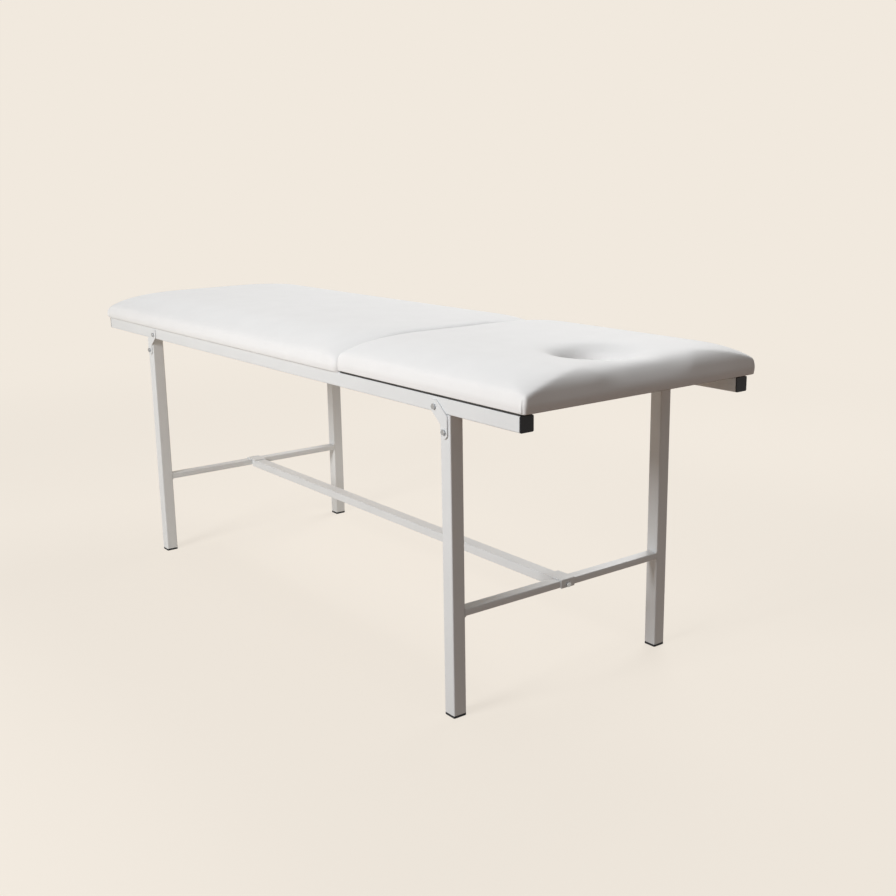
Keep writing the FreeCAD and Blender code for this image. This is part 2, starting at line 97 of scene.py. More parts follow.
def colour(code):
    """A hex colour from a screen as linear red, green, blue and alpha."""
    channels = [int(code[i:i + 2], 16) / 255 for i in (1, 3, 5)]
    return [c / 12.92 if c <= 0.04045 else ((c + 0.055) / 1.055) ** 2.4 for c in channels] + [1]


def add_node(tree, kind, inputs=None, **settings):
    """Add one node, set its options, and fill or link its inputs."""
    made = tree.nodes.new(kind)
    for name, value in settings.items():
        setattr(made, name, value)
    for name, value in (inputs or {}).items():
        if isinstance(value, bpy.types.NodeSocket):
            tree.links.new(value, made.inputs[name])
        else:
            made.inputs[name].default_value = value
    return made


def new_material(name, **shader):
    """A material with one Principled shader, whose constants are set on its own sockets."""
    material = bpy.data.materials.new(name)
    material.use_nodes = True
    principled = material.node_tree.nodes["Principled BSDF"]
    for socket, value in shader.items():
        principled.inputs[socket.replace("_", " ")].default_value = value
    return material, material.node_tree, principled


print("mid grey #808080 is", round(colour("#808080")[0], 3), "as linear light")

# %% [markdown]
# ## Camera
# The camera stands at the head end, on the near side, a little above the cushions. Its place
# and lens were worked out from the straight lines of the rails and legs in the photograph,
# so it is written as a point, three angles and a focal length in pixels of an 896 pixel
# picture. The angles are turned into the three directions that a camera needs.

# %% Place the camera
picture_width = 896
focal_pixels = 1181.69
camera_point = Vector((2.3845, -1.5548, 1.0462))
yaw, pitch, roll = (math.radians(a) for a in (53.1412, -13.5683, -0.8748))

ahead = Vector((-math.sin(yaw) * math.cos(pitch), math.cos(yaw) * math.cos(pitch), math.sin(pitch)))
level_right = ahead.cross(Vector((0, 0, 1))).normalized()
level_up = level_right.cross(ahead)
right = math.cos(roll) * level_right + math.sin(roll) * level_up
up = -math.sin(roll) * level_right + math.cos(roll) * level_up

camera_data = bpy.data.cameras.new("camera")
camera_data.sensor_width = 36
camera_data.lens = focal_pixels / picture_width * camera_data.sensor_width
camera = bpy.data.objects.new("camera", camera_data)
bpy.context.scene.collection.objects.link(camera)
turn = Matrix((right, up, -ahead)).transposed().to_4x4()
camera.matrix_world = Matrix.Translation(camera_point) @ turn
bpy.context.scene.camera = camera
print("lens", round(camera_data.lens, 2), "mm")

# %% [markdown]
# ## Light
# The photograph is lit from the near side, and the faces towards the head end turn away and
# go brownish grey. A wide lamp low on the near side gives that slope from light to shade. A
# second one behind the couch fills its top, without making the rounded long side too bright,
# and a weak warm world stands for the walls of the room. Light Path keeps the two jobs of the
# world apart: the eye sees the backdrop's colour, and the couch is lit by the room's.

# %% Studio
scene = bpy.context.scene
scene.view_settings.view_transform = "Standard"
backdrop_colour = colour("#f1e9de")
room_colour = colour("#f4f0ec")
room_strength = 0.275
couch_middle = Vector((0, 0, 0.5))


def eye_share(tree):
    """A socket that is 1 for what is seen, directly or in a gloss, and 0 for what gives light."""
    path = add_node(tree, "ShaderNodeLightPath")
    seen = add_node(tree, "ShaderNodeMath", {0: path.outputs["Is Camera Ray"],
                                             1: path.outputs["Is Glossy Ray"]}, operation="MAXIMUM")
    return seen.outputs[0]


def soft_lamp(name, place, size, power):
    """A square area lamp aimed at the middle of the couch."""
    data = bpy.data.lights.new(name, "AREA")
    data.size = size
    data.energy = power
    lamp = bpy.data.objects.new(name, data)
    scene.collection.objects.link(lamp)
    lamp.location = place
    lamp.rotation_euler = (couch_middle - Vector(place)).to_track_quat("-Z", "Y").to_euler()
    print(name, power, "W,", size, "m wide")


world = bpy.data.worlds.new("studio")
scene.world = world
world.use_nodes = True
tree = world.node_tree
room = add_node(tree, "ShaderNodeBackground", {"Color": room_colour, "Strength": room_strength})
wall = add_node(tree, "ShaderNodeBackground", {"Color": backdrop_colour, "Strength": 1})
mixed = add_node(tree, "ShaderNodeMixShader", {0: eye_share(tree), 1: room.outputs[0],
                                               2: wall.outputs[0]})
tree.links.new(mixed.outputs[0], tree.nodes["World Output"].inputs["Surface"])

soft_lamp("near_side_lamp", place=(0.55, -3.6, 2.3), size=1.3, power=109)
soft_lamp("far_side_lamp", place=(-0.8, 2.4, 2.9), size=2.0, power=71)

# %% [markdown]
# ## Floor
# The floor and the world look the same pale beige to the camera, and the floor's shading
# fades out a few metres from the couch, so no horizon shows, but near the couch the floor
# keeps its shadow. The light that the floor throws back at the couch has a colour of its own:
# pale at the foot end, and dark brown past the head end. That gives the end face of the head
# cushion its brownish grey, while the rest of the couch stays neutral.

# %% Floor
floor_reach = 40
shadow_share = 0.18
shadow_full, shadow_gone = 1.2, 4.0
bounce_start, bounce_end = 0.1, 0.9
floor_colour = colour("#fdf6ec")
bounce_at_foot = colour("#e2d8cb")
bounce_at_head = colour("#856a57")

corners = [(-floor_reach, -floor_reach, 0), (floor_reach, -floor_reach, 0),
           (floor_reach, floor_reach, 0), (-floor_reach, floor_reach, 0)]
floor_data = bpy.data.meshes.new("floor")
floor_data.from_pydata(corners, [], [(0, 1, 2, 3)])
floor = bpy.data.objects.new("floor", floor_data)
scene.collection.objects.link(floor)

# Rolled matt paint has no gloss at all, so the eye gets one even pale beige.
floor_material = bpy.data.materials.new("painted_studio_floor")
floor_material.use_nodes = True
tree = floor_material.node_tree
tree.nodes.remove(tree.nodes["Principled BSDF"])
place = add_node(tree, "ShaderNodeTexCoord").outputs["Object"]
distance = add_node(tree, "ShaderNodeVectorMath", {0: place}, operation="LENGTH").outputs["Value"]
share = add_node(tree, "ShaderNodeMapRange", {"Value": distance, "From Min": shadow_full,
                                              "From Max": shadow_gone, "To Min": shadow_share,
                                              "To Max": 0}, interpolation_type="SMOOTHSTEP")
matt = add_node(tree, "ShaderNodeBsdfDiffuse", {"Color": floor_colour})
glow = add_node(tree, "ShaderNodeEmission", {"Color": backdrop_colour, "Strength": 1})
shown = add_node(tree, "ShaderNodeMixShader", {0: share.outputs[0], 1: glow.outputs[0],
                                               2: matt.outputs[0]})
along_couch = add_node(tree, "ShaderNodeSeparateXYZ", {0: place}).outputs["X"]
past_head = add_node(tree, "ShaderNodeMapRange", {"Value": along_couch, "From Min": bounce_start,
                                                  "From Max": bounce_end},
                     interpolation_type="SMOOTHSTEP")
bounce_tint = add_node(tree, "ShaderNodeMix", {0: past_head.outputs[0], 6: bounce_at_foot,
                                               7: bounce_at_head}, data_type="RGBA")
bounce = add_node(tree, "ShaderNodeBsdfDiffuse", {"Color": bounce_tint.outputs[2]})
mixed = add_node(tree, "ShaderNodeMixShader", {0: eye_share(tree), 1: bounce.outputs[0],
                                               2: shown.outputs[0]})
tree.links.new(mixed.outputs[0], tree.nodes["Material Output"].inputs["Surface"])
floor_data.materials.append(floor_material)
floor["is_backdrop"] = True
print("the floor keeps its shadow for", shadow_full, "m round the couch")

# %% [markdown]
# ## Upholstery vinyl
# The cushions are covered in PVC-coated upholstery cloth, embossed with a fine leather
# grain. The coating makes it a dense matt white with a soft broad highlight. The grain is
# about a millimetre, which is too fine for this picture, so it is drawn at three. A second,
# much wider and very low wave stands for the way that stretched vinyl is never quite flat.

# %% Vinyl
# Calendered and embossed PVC on cloth gives the eye a dense white with a soft broad
# highlight, which the grain breaks up a little.
vinyl, tree, principled = new_material("embossed_pvc_upholstery_vinyl", Roughness=0.62,
                                       Specular_IOR_Level=0.26)
place = add_node(tree, "ShaderNodeTexCoord").outputs["Object"]
grain = add_node(tree, "ShaderNodeTexVoronoi", {"Vector": place, "Scale": per_mm(3)})
wave = add_node(tree, "ShaderNodeTexNoise", {"Vector": place, "Scale": per_mm(140), "Detail": 2})
tone = add_node(tree, "ShaderNodeTexNoise", {"Vector": place, "Scale": per_mm(60), "Detail": 4})
tint = add_node(tree, "ShaderNodeMix", {0: tone.outputs["Fac"], 6: colour("#f0f1f2"), 7: colour("#eaebec")},
                data_type="RGBA")
low_bump = add_node(tree, "ShaderNodeBump", {"Height": wave.outputs["Fac"], "Strength": 0.25,
                                             "Distance": 4 * MM})
fine_bump = add_node(tree, "ShaderNodeBump", {"Height": grain.outputs["Distance"], "Strength": 0.12,
                                              "Distance": 0.4 * MM, "Normal": low_bump.outputs[0]})
tree.links.new(tint.outputs[2], principled.inputs["Base Color"])
tree.links.new(fine_bump.outputs[0], principled.inputs["Normal"])
print("vinyl nodes:", len(tree.nodes))

# %% [markdown]
# ## Metal and plastic finishes
# The frame is powder coated: a dry paint that is baked on and leaves a satin film with a
# faint orange peel. The flat bars and the prop under the head section have the same coat in
# black. Along the gap under the head cushion, the black of the flat bars is also painted shade
# that stands in for the shadow there. Bolts and hinges are zinc plated, which is a cool grey
# metal with cloudy patches.
# The plugs and caps are moulded polythene, nearly black, with a fine spark-eroded texture.

# %% Powder coats
def powder_coat(name, pale, dark, roughness, peel):
    """A baked powder paint: a satin film with orange peel about two millimetres across."""
    material, tree, principled = new_material(name, Roughness=roughness)
    place = add_node(tree, "ShaderNodeTexCoord").outputs["Object"]
    ripples = add_node(tree, "ShaderNodeTexNoise", {"Vector": place, "Scale": per_mm(2.2), "Detail": 2})
    tone = add_node(tree, "ShaderNodeTexNoise", {"Vector": place, "Scale": per_mm(90), "Detail": 3})
    tint = add_node(tree, "ShaderNodeMix", {0: tone.outputs["Fac"], 6: colour(pale), 7: colour(dark)},
                    data_type="RGBA")
    bump = add_node(tree, "ShaderNodeBump", {"Height": ripples.outputs["Fac"], "Strength": peel,
                                             "Distance": 0.15 * MM})
    tree.links.new(tint.outputs[2], principled.inputs["Base Color"])
    tree.links.new(bump.outputs[0], principled.inputs["Normal"])
    return material


# Pale powder paint baked on steel gives the eye a clean cool grey with a satin sheen.
white_coat = powder_coat("light_grey_powder_coated_steel", "#e3e6e8", "#dbdee0",
                         roughness=0.36, peel=0.5)
# In black, the thin sheen along the edges is nearly all that shows the shape. On the flat bars
# under the head cushion, the black is also painted shade that stands in for the shadow in the gap there.
black_coat_and_gap_shade = powder_coat("satin_black_powder_coat_and_painted_gap_shade", "#17181a", "#1d1e20",
                         roughness=0.42, peel=0.5)
print("powder coats:", white_coat.name, "and", black_coat_and_gap_shade.name)

# %% Zinc and polythene
# Bright zinc plating gives the eye a cool grey mirror gone soft, in cloudy patches.
zinc, tree, principled = new_material("zinc_plated_steel", Metallic=1.0)
place = add_node(tree, "ShaderNodeTexCoord").outputs["Object"]
clouds = add_node(tree, "ShaderNodeTexNoise", {"Vector": place, "Scale": per_mm(5), "Detail": 4})
tint = add_node(tree, "ShaderNodeMix", {0: clouds.outputs["Fac"], 6: colour("#c3c5c8"),
                                        7: colour("#a3a6aa")}, data_type="RGBA")
rough = add_node(tree, "ShaderNodeMapRange", {"Value": clouds.outputs["Fac"], "To Min": 0.28,
                                              "To Max": 0.46})
tree.links.new(tint.outputs[2], principled.inputs["Base Color"])
tree.links.new(rough.outputs[0], principled.inputs["Roughness"])

# Moulded polythene gives the eye a dull near-black. The spark-eroded grain of the mould is
# about a tenth of a millimetre and is drawn nine times coarser, so that it shows.
polythene, tree, principled = new_material("moulded_black_polythene", Roughness=0.48,
                                           Specular_IOR_Level=0.25)
place = add_node(tree, "ShaderNodeTexCoord").outputs["Object"]
spark = add_node(tree, "ShaderNodeTexNoise", {"Vector": place, "Scale": per_mm(0.9), "Detail": 3})
tint = add_node(tree, "ShaderNodeMix", {0: spark.outputs["Fac"], 6: colour("#1c1e23"),
                                        7: colour("#282a30")}, data_type="RGBA")
bump = add_node(tree, "ShaderNodeBump", {"Height": spark.outputs["Fac"], "Strength": 0.4,
                                         "Distance": 0.1 * MM})
tree.links.new(tint.outputs[2], principled.inputs["Base Color"])
tree.links.new(bump.outputs[0], principled.inputs["Normal"])
print("small fittings:", zinc.name, "and", polythene.name)

# %% [markdown]
# ## Plywood
# Under the cushions lie two boards of poplar plywood, left bare. The face veneer is peeled
# off the log as one long sheet, so its grain makes wide drifting bands along the couch with
# short dark pores in them. Stretching a noise along X gives the bands, and a finer, even
# longer noise gives the pores.

# %% Plywood
# Bare sanded veneer gives the eye a warm pale brown with no gloss, banded along the couch.
grain_stretch = (0.12, 1, 1)
plywood, tree, principled = new_material("rotary_cut_poplar_plywood", Roughness=0.62)
place = add_node(tree, "ShaderNodeTexCoord").outputs["Object"]
along = add_node(tree, "ShaderNodeMapping", {"Vector": place, "Scale": grain_stretch})
bands = add_node(tree, "ShaderNodeTexNoise", {"Vector": along.outputs[0], "Scale": per_mm(45),
                                              "Detail": 5, "Distortion": 0.6})
pores = add_node(tree, "ShaderNodeTexNoise", {"Vector": along.outputs[0], "Scale": per_mm(2.5),
                                              "Detail": 2})
veneer = add_node(tree, "ShaderNodeMix", {0: bands.outputs["Fac"], 6: colour("#dcc49c"),
                                          7: colour("#c2a273")}, data_type="RGBA")
pored = add_node(tree, "ShaderNodeMix", {0: pores.outputs["Fac"], 6: veneer.outputs[2],
                                         7: colour("#a98a5e")}, data_type="RGBA",
                 blend_type="MULTIPLY")
bump = add_node(tree, "ShaderNodeBump", {"Height": pores.outputs["Fac"], "Strength": 0.3,
                                         "Distance": 0.2 * MM})
tree.links.new(pored.outputs[2], principled.inputs["Base Color"])
tree.links.new(bump.outputs[0], principled.inputs["Normal"])
print("plywood nodes:", len(tree.nodes))

# %% [markdown]
# ## Finishing the CAD pieces
# Cut tube and plate have no knife edges: a thin line of light runs along each one. The CAD
# mesh is loose triangles and must stay as it is, so modifiers do the work on top of it. Weld
# joins the triangles, Decimate melts flat areas into single faces, Bevel rounds the sharp
# edges, and Weighted Normal keeps the flats flat while the tube corners shade as curves.

# %% Materials and edge rounds
# The black paint of the flat bars is partly painted shade for the gap under the head cushion.
finishes = {"white_paint": white_coat, "black_paint": black_coat_and_gap_shade, "black_plastic": polythene,
            "zinc_steel": zinc, "plywood": plywood, "white_vinyl": vinyl, "foam": vinyl}
edge_round = {"white_paint": 0.5 * MM, "black_paint": 0.5 * MM, "black_plastic": 0.8 * MM,
              "zinc_steel": 0.25 * MM, "plywood": 0.4 * MM}
slots = {part["node"]: part["material_slot"] for part in frame["record"]["subparts"]}
soft_nodes = [name for name in nodes if name.endswith(("cover", "foam"))]
sharp_angle = math.radians(50)

for name in sorted(nodes):
    piece = nodes[name]
    for piece_slot in piece.material_slots:
        piece_slot.material = finishes[slots[name]]
    if name in soft_nodes:
        continue
    piece.data.polygons.foreach_set("use_smooth", [True] * len(piece.data.polygons))
    weld = piece.modifiers.new("join_triangles", "WELD")
    weld.merge_threshold = 0.02 * MM
    flats = piece.modifiers.new("melt_flats", "DECIMATE")
    flats.decimate_type = "DISSOLVE"
    flats.angle_limit = math.radians(1)
    edges = piece.modifiers.new("edge_round", "BEVEL")
    edges.width = edge_round[slots[name]]
    edges.segments = 2
    edges.angle_limit = sharp_angle
    shade = piece.modifiers.new("shade_by_area", "WEIGHTED_NORMAL")
    shade.weight = 90
print("finished CAD pieces:", len(nodes) - len(soft_nodes))

# %% [markdown]
# ## The form of a cushion
# Each cushion is foam on a board, with vinyl pulled over it and stapled underneath. The pull
# draws the long sides and the free end into a wide crown, and the corners of the crown are
# much rounder than those of the board. At the fold the crown is narrow, because the two
# cushions meet there in one soft valley. A stack of loops describes this well: each loop is
# a rectangle with round corners, a little higher, further in and rounder than the one below.
# The waist is the height where the side ends and the crown begins, and a draw is how far a
# loop comes in from the outline.

# %% Sizes of a cushion
pad_width = 602 * MM
base_draw = 4 * MM
base_corner = 4 * MM
base_apron = 10 * MM
low_side_level, low_side_draw = 0.45, 0.35
fold_keeps_draw, fold_keeps_slim = 0.2, 0.3
crown_steps = 16
corner_steps = 12
swell_room = 3 * MM
board_edge = 12 * MM
main_form = {"waist": 24 * MM, "side_draw": 125 * MM, "end_draw": 105 * MM, "fold_draw": 25 * MM,
             "crown_corner": 115 * MM}
head_form = {"waist": 29 * MM, "side_draw": 112 * MM, "end_draw": 46 * MM, "fold_draw": 25 * MM,
             "crown_corner": 90 * MM}


def loop_points(x0, x1, y0, y1, radius, z):
    """Points round a rectangle with round corners, the same count for every loop."""
    corners = ((x1 - radius, y1 - radius, 0), (x0 + radius, y1 - radius, 90),
               (x0 + radius, y0 + radius, 180), (x1 - radius, y0 + radius, 270))
    points = []
    for centre_x, centre_y, start in corners:
        for step in range(corner_steps + 1):
            turn = math.radians(start + 90 * step / corner_steps)
            points.append((centre_x + radius * math.cos(turn), centre_y + radius * math.sin(turn), z))
    return points


def crown_levels(form, height):
    """Height, base draw, share of the crown draw and corner radius of each loop."""
    levels = [(-base_apron, base_draw, 0, base_corner), (0, base_draw, 0, base_corner),
              (form["waist"] * low_side_level, base_draw * low_side_draw, 0, base_corner)]
    for step in range(crown_steps + 1):
        turn = math.radians(90) * step / crown_steps
        corner = base_corner + (form["crown_corner"] - base_corner) * math.sin(turn)
        level = form["waist"] + (height - form["waist"]) * math.sin(turn)
        levels.append((level, 0, 1 - math.cos(turn), corner))
    return levels


# %% Stack the loops
def closed_mesh(name, loops, ring=False):
    """A closed mesh from a stack of loops: capped at both ends, or joined into a ring."""
    shape = bmesh.new()
    rows = [[shape.verts.new(point) for point in loop] for loop in loops]
    count = len(rows[0])
    next_rows = rows[1:] + rows[:1] if ring else rows[1:]
    for lower, upper in zip(rows, next_rows):
        for k in range(count):
            following = (k + 1) % count
            shape.faces.new((lower[k], lower[following], upper[following], upper[k]))
    if not ring:
        shape.faces.new(list(reversed(rows[0])))
        shape.faces.new(rows[-1])
    bmesh.ops.recalc_face_normals(shape, faces=shape.faces)
    data = bpy.data.meshes.new(name)
    shape.to_mesh(data)
    shape.free()
    return data


def place_object(name, data):
    """A new object at the origin, whose place is in its mesh."""
    made = bpy.data.objects.new(name, data)
    scene.collection.objects.link(made)
    return made


def cushion_body(name, form, free_x, fold_x, bottom, height):
    """The plain closed form of a cushion, a little slim because it swells later.

    An apron runs on below the base, so that the remesh rounds the apron and not the base.
    """
    reach = 1 if free_x < fold_x else -1
    loops = []
    for level, draw, share, corner in crown_levels(form, height - swell_room):
        slim = swell_room * max(0, min(1, (level - board_edge) / board_edge))
        free_draw = draw + slim + form["end_draw"] * share
        fold_draw = draw * fold_keeps_draw + slim * fold_keeps_slim + form["fold_draw"] * share
        x0, x1 = sorted((free_x + reach * free_draw, fold_x - reach * fold_draw))
        half = pad_width / 2 - draw - slim - form["side_draw"] * share
        loops.append(loop_points(x0, x1, -half, half, corner, bottom + level))
    return place_object(name, closed_mesh(name, loops))


# %% [markdown]
# ## The face opening
# The head cushion has a round breathing hole. The vinyl rolls over its rim in a wide soft
# lip and runs straight down through the board. A funnel with that profile is turned round
# the hole's axis and cut out of the cushion. Cutting it from the plain form, before the mesh
# is made even, lets the later steps soften the cut edge.

# %% Funnel
hole_x = 775 * MM
throat_radius = 60 * MM
lip_width = 62 * MM
lip_depth = 46 * MM
lip_shift = 14 * MM
lip_steps = 10
funnel_below, funnel_above = 40 * MM, 20 * MM
funnel_points = 64


def circle_points(centre_x, radius, count, z=0):
    """Points round a level circle on the couch's middle line."""
    turns = [2 * math.pi * k / count for k in range(count)]
    return [Vector((centre_x + radius * math.cos(t), radius * math.sin(t), z)) for t in turns]


def funnel(bottom, top):
    """The solid that the face opening removes: a throat with a lip wider towards the head end."""
    profile = [(0, 0, bottom - funnel_below)]
    for step in range(lip_steps + 1):
        turn = math.radians(90) * step / lip_steps
        share = 1 - math.cos(turn)
        height = top - lip_depth * (1 - math.sin(turn))
        profile.append((lip_width * share, lip_shift * share, height))
    profile.append((lip_width, lip_shift, top + funnel_above))
    loops = [circle_points(hole_x + shift, throat_radius + wider, funnel_points, z)
             for wider, shift, z in profile]
    return place_object("funnel", closed_mesh("funnel", loops))


# %% [markdown]
# ## Vinyl stretched by the foam
# Foam pushes outwards and the vinyl holds it, and that balance gives a cushion its full,
# slightly uneven look. Blender's cloth solver can do the same with air pressure. It needs
# even cells, so the form is first remeshed from small cubes and laid back on its smooth
# surface.

# %% Even cells
def baked(piece):
    """Replace a piece's mesh by what its modifiers make of it."""
    graph = bpy.context.evaluated_depsgraph_get()
    data = bpy.data.meshes.new_from_object(piece.evaluated_get(graph))
    piece.modifiers.clear()
    piece.data = data


def positions(data):
    """The points of a mesh as rows of x, y and z."""
    flat = np.empty(len(data.vertices) * 3)
    data.vertices.foreach_get("co", flat)
    return flat.reshape(-1, 3)


def even_cells(piece, cell):
    """Rebuild a mesh from cells of one size, lying on its old surface."""
    model = place_object("model", piece.data.copy())
    remesh = piece.modifiers.new("even_cells", "REMESH")
    remesh.mode = "VOXEL"
    remesh.voxel_size = cell
    relax = piece.modifiers.new("relax_cells", "SMOOTH")
    relax.iterations = 4
    wrap = piece.modifiers.new("lay_on_form", "SHRINKWRAP")
    wrap.target = model
    baked(piece)
    bpy.data.objects.remove(model)


# %% [markdown]
# ## Evening things out
# Thick vinyl has no sharp wrinkles. Two small tools smooth things: one makes a share that
# rises softly from 0 to 1, and one lets the values at each point of a mesh flow into those of
# its neighbours. The second settles the ridge that the cut left round the face opening.

# %% Smoothing
flow_per_round = 0.5


def eased(value, low, high):
    """A share that rises smoothly from 0 at low to 1 at high."""
    share = np.clip((value - low) / (high - low), 0, 1)
    return share * share * (3 - 2 * share)


def evened(piece, values, rounds, loose=1):
    """Let rows of values at the points flow into those of their neighbours, where loose."""
    ends = np.empty(len(piece.data.edges) * 2, np.int64)
    piece.data.edges.foreach_get("vertices", ends)
    first, second = ends.reshape(-1, 2).T
    neighbours = np.bincount(ends, minlength=len(values))
    share = flow_per_round * loose * np.ones(len(values))
    for _ in range(rounds):
        total = np.zeros_like(values)
        for axis in range(3):
            total[:, axis] += np.bincount(first, values[second, axis], len(values))
            total[:, axis] += np.bincount(second, values[first, axis], len(values))
        values = values + share[:, None] * (total / neighbours[:, None] - values)
    return values


# %% Settle the rim
settle_width = 25 * MM
settle_fade = (15 * MM, 60 * MM)
settle_heights = (655 * MM, 672 * MM)


def soften_rim(piece, rounds):
    """Let the vinyl settle round the face opening, and less so far from it and low down."""
    points = positions(piece.data)
    distance = np.hypot(points[:, 0] - hole_x - lip_shift, points[:, 1])
    outer = throat_radius + lip_width
    loose = eased(distance, throat_radius, throat_radius + settle_width)
    loose *= 1 - eased(distance, outer + settle_fade[0], outer + settle_fade[1])
    loose *= eased(points[:, 2], *settle_heights)
    piece.data.vertices.foreach_set("co", evened(piece, points, rounds, loose).ravel())


# %% [markdown]
# ## Pressure
# After twenty frames of pressure each point has moved a little. The solver's wrinkles are too
# sharp for vinyl, so the movement is evened out before it is used. It is then capped, because
# real vinyl stops stretching, and it fades out near the board, where the vinyl is stapled.

# %% Pressure
pressure_force = 4
pressure_frames = 20
even_rounds = 60
cap_fade = 30 * MM
least_length, least_cap = 1e-9, 1e-6


def swell(piece, bottom, limit):
    """Blow a cushion up a little, as foam does under vinyl."""
    start = positions(piece.data)
    cloth = piece.modifiers.new("vinyl_under_pressure", "CLOTH")
    cloth.settings.use_pressure = True
    cloth.settings.uniform_pressure_force = pressure_force
    cloth.settings.effector_weights.gravity = 0
    cloth.point_cache.frame_start = 1
    cloth.point_cache.frame_end = pressure_frames
    for step in range(1, pressure_frames + 1):
        scene.frame_set(step)
    graph = bpy.context.evaluated_depsgraph_get()
    moved = positions(piece.evaluated_get(graph).data) - start
    piece.modifiers.remove(cloth)
    scene.frame_set(1)
    moved = evened(piece, moved, even_rounds)
    length = np.maximum(np.linalg.norm(moved, axis=1), least_length)
    above = np.clip((start[:, 2] - bottom - board_edge) / cap_fade, 0, 1)
    cap = limit * above
    moved *= (cap * np.tanh(length / np.maximum(cap, least_cap)) / length)[:, None]
    piece.data.vertices.foreach_set("co", (start + moved).ravel())
    most = float(np.linalg.norm(moved, axis=1).max() / MM)
    print(piece.name, "swelled by up to", round(most, 1), "mm")


def softened(piece, bottom):
    """One more subdivision, a flat base, smooth shading, and the vinyl."""
    finer = piece.modifiers.new("finer", "SUBSURF")
    finer.levels = finer.render_levels = 1
    baked(piece)
    points = positions(piece.data)
    points[:, 2] = np.maximum(points[:, 2], bottom)
    piece.data.vertices.foreach_set("co", points.ravel())
    piece.data.shade_smooth()
    piece.data.materials.clear()
    piece.data.materials.append(vinyl)


# %% [markdown]
# ## The two cushions
# The main cushion is the simple case: plain form, even cells, pressure, finish. In the head
# cushion the face opening is cut before the cells are made even, and its rim is settled
# before the pressure comes on.

# %% Main cushion
free_foot, free_head = -914 * MM, 924 * MM
main_fold, head_fold = 328.6 * MM, 329.4 * MM
main_bottom, head_bottom = 630.3 * MM, 635.3 * MM
cushion_top = 700 * MM
swell_limit = 4 * MM

main_cushion = cushion_body("main_cushion", main_form, free_foot, main_fold, main_bottom,
                            cushion_top - main_bottom)
even_cells(main_cushion, cell=8.5 * MM)
swell(main_cushion, main_bottom, swell_limit)
softened(main_cushion, main_bottom)
print("main cushion faces:", len(main_cushion.data.polygons))

# %% Head cushion
head_cushion = cushion_body("head_cushion", head_form, free_head, head_fold, head_bottom,
                            cushion_top - head_bottom)
cutter = funnel(head_bottom, cushion_top)
cut = head_cushion.modifiers.new("face_opening", "BOOLEAN")
cut.operation = "DIFFERENCE"
cut.solver = "EXACT"
cut.object = cutter
baked(head_cushion)
bpy.data.objects.remove(cutter)
even_cells(head_cushion, cell=6 * MM)
soften_rim(head_cushion, rounds=70)
swell(head_cushion, head_bottom, swell_limit)
softened(head_cushion, head_bottom)
print("head cushion faces:", len(head_cushion.data.polygons))

# %% [markdown]
# ## Corner pleats
# At each free corner the upholsterer folds the spare vinyl over itself once and staples it
# below. It shows as a short flap that runs up from the board's edge and dies out. The flap is
# a thin wedge. Its points are found by looking at the cushion from outside, level by level,
# so the wedge lies on the vinyl whatever shape the foam gave it.

# %% Pleats
pleat_start = 2 * MM
pleat_height = 27 * MM
pleat_width = 9 * MM
pleat_lift = 1.8 * MM
pleat_turn = math.radians(3)
pleat_steps = 12
pleat_reach = 60 * MM
look_from = 200 * MM
pleat_taper, lift_taper = 0.6, 0.5
flap_profile = ((0, 0.4), (0.12, 1), (0.5, 0.7))
edge_sink = 0.2 * MM
back_sink = 1.2 * MM


def vinyl_piece(name, data, body):
    """Give a small vinyl piece its material and put it on a body."""
    data.materials.append(vinyl)
    piece = place_object(name, data)
    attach(piece, body)


def skin_point(tree, centre, turn, z, lift):
    """The point where a level look from outside meets the cushion, moved out by lift."""
    out = Vector((math.cos(turn), math.sin(turn), 0))
    start = Vector((centre[0], centre[1], z)) + out * look_from
    hit = tree.ray_cast(start, -out)[0]
    return hit + out * lift


def corner_pleat(cushion, corner_x, corner_y, bottom, name, body):
    """A folded flap of vinyl on one corner of a cushion.

    The flap's profile gives how far across it each point is, and its share of the lift.
    """
    tree = BVHTree.FromObject(cushion, bpy.context.evaluated_depsgraph_get())
    side_x = 1 if corner_x > 0 else -1
    side_y = 1 if corner_y > 0 else -1
    hand = side_x * side_y
    centre = (corner_x - side_x * pleat_reach, corner_y - side_y * pleat_reach)
    fold = math.atan2(side_y, side_x) + hand * pleat_turn
    spread = pleat_width / (pleat_reach * math.sqrt(2))
    loops = []
    for step in range(pleat_steps + 1):
        share = step / pleat_steps
        z = bottom + pleat_start + (pleat_height - pleat_start) * share
        width = spread * (1 - share) ** pleat_taper
        lift = pleat_lift * (1 - share) ** lift_taper
        edge = fold + hand * width
        loop = [skin_point(tree, centre, fold + hand * width * across, z, lift * rise)
                for across, rise in flap_profile]
        loop.append(skin_point(tree, centre, edge, z, -edge_sink))
        loop += [skin_point(tree, centre, turn, z, -back_sink) for turn in (edge, fold)]
        loops.append(loop)
    data = closed_mesh(name, loops)
    data.shade_smooth()
    vinyl_piece(name, data, body)


pleats = {
    "main_pleat_near": (main_cushion, free_foot, -pad_width / 2, main_bottom, "frame"),
    "main_pleat_far": (main_cushion, free_foot, pad_width / 2, main_bottom, "frame"),
    "head_pleat_near": (head_cushion, free_head, -pad_width / 2, head_bottom, "head_section"),
    "head_pleat_far": (head_cushion, free_head, pad_width / 2, head_bottom, "head_section"),
}
for name, (cushion, corner_x, corner_y, bottom, body) in pleats.items():
    corner_pleat(cushion, corner_x, corner_y, bottom, name, body)
print("pleats:", len(pleats))

# %% [markdown]
# ## The hem under the boards
# The vinyl is turned under the board and stapled about every 35 mm. The hem is a flat band
# with the outline of the cushion on one side and a hand-cut, slightly wavy edge on the
# other. It is built straight from two loops, as a remesh would lose so thin a sheet.

# %% Hems
hem_thickness = 0.9 * MM
hem_width = 30 * MM
hem_wobble_mm = 1.5
hem_step = 12 * MM
hem_drop = 0.8 * MM
hem_rise = 0.2 * MM
staple_share = 0.6
hem_paths = {}
rng = np.random.default_rng(11)


